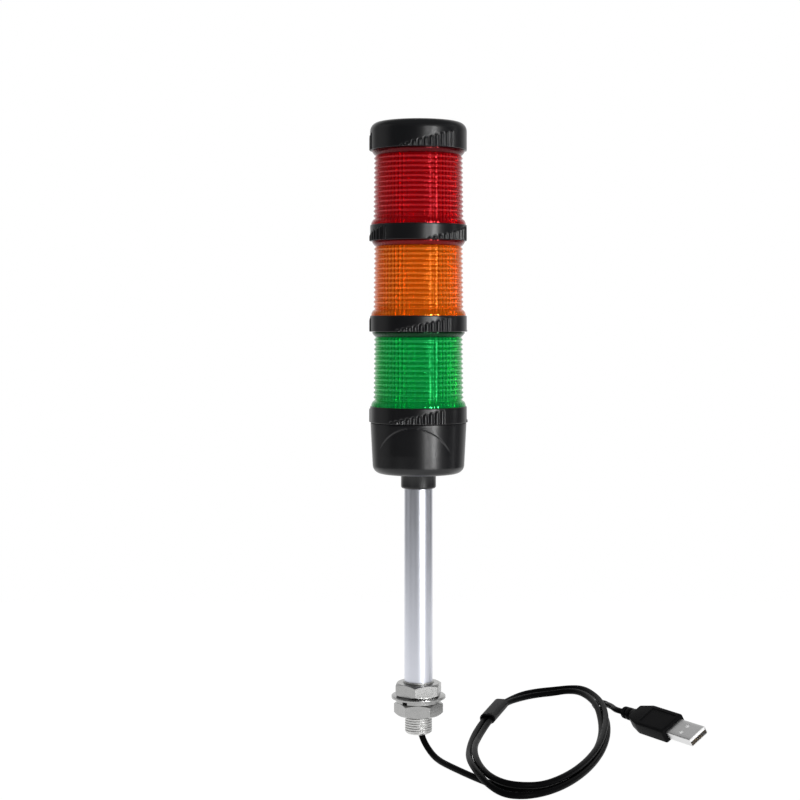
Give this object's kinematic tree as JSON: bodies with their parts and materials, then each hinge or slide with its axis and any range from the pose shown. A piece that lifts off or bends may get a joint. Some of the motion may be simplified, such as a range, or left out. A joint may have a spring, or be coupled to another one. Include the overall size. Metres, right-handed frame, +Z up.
{
  "type": "stack light",
  "caption": "Pole-mounted stack light with red, amber and green twist-on lens modules, a threaded end with nuts, and a thin lead with a plug.",
  "frame": {"origin": "on the pole's axis at the lower nut's underside, where the threaded end goes into a panel", "axes": "+Z up the pole, towards the cap; -Y is the front; +X is to the right, where the lead lies"},
  "size_m": [0.1763, 0.2226, 0.3256],
  "materials": {
    "green_lens": "clear tinted polycarbonate, prismed inside and ribbed outside",
    "amber_lens": "clear tinted polycarbonate, prismed inside and ribbed outside",
    "red_lens": "clear tinted polycarbonate, prismed inside and ribbed outside",
    "black_plastic": "fine satin moulded plastic",
    "white_plastic": "satin",
    "led_chip": "glossy",
    "circuit_board": "satin solder mask",
    "spring_metal": "gold plated",
    "seal_rubber": "matt",
    "pole_metal": "satin anodised",
    "nickel": "satin nickel plate",
    "cable_jacket": "smooth, slightly glossy",
    "plug_plastic": "satin"
  },
  "bodies": {
    "base": {"threaded_end": "nickel", "lower_nut": "nickel", "lock_washer": "nickel", "flat_washer": "nickel", "upper_nut": "nickel", "pole": "pole_metal", "base_housing": "black_plastic", "base_insert": "black_plastic", "base_screws": "nickel", "base_board": "circuit_board", "base_seal": "seal_rubber", "inner_cable": "cable_jacket", "cable_coil": "cable_jacket", "cable_lead": "cable_jacket", "cable_tail": "cable_jacket", "coil_tie": "plug_plastic", "plug_body": "plug_plastic", "plug_shell": "nickel", "plug_tongue": "white_plastic", "plug_contacts": "spring_metal"},
    "cap": {"top_cap": "black_plastic"},
    "green_module": {"green_ring": "black_plastic", "green_lens": "green_lens", "green_column": "white_plastic", "green_leds": "led_chip", "green_board": "circuit_board", "green_contacts": "spring_metal", "green_seal": "seal_rubber"},
    "amber_module": {"amber_ring": "black_plastic", "amber_lens": "amber_lens", "amber_column": "white_plastic", "amber_leds": "led_chip", "amber_board": "circuit_board", "amber_contacts": "spring_metal", "amber_seal": "seal_rubber"},
    "red_module": {"red_ring": "black_plastic", "red_lens": "red_lens", "red_column": "white_plastic", "red_leds": "led_chip", "red_board": "circuit_board", "red_contacts": "spring_metal", "red_seal": "seal_rubber"}
  },
  "joints": [
    {"name": "green_twist", "type": "hinge", "parent": "base", "child": "green_module", "pos_m": [0, 0, 0.1503], "axis": [0, 0, 1], "range_deg": [0, 25]},
    {"name": "amber_twist", "type": "hinge", "parent": "green_module", "child": "amber_module", "pos_m": [0, 0, 0.1969], "axis": [0, 0, 1], "range_deg": [0, 25]},
    {"name": "red_twist", "type": "hinge", "parent": "amber_module", "child": "red_module", "pos_m": [0, 0, 0.2435], "axis": [0, 0, 1], "range_deg": [0, 25]},
    {"name": "cap_twist", "type": "hinge", "parent": "red_module", "child": "cap", "pos_m": [0, 0, 0.2901], "axis": [0, 0, 1], "range_deg": [0, 25]}
  ]
}
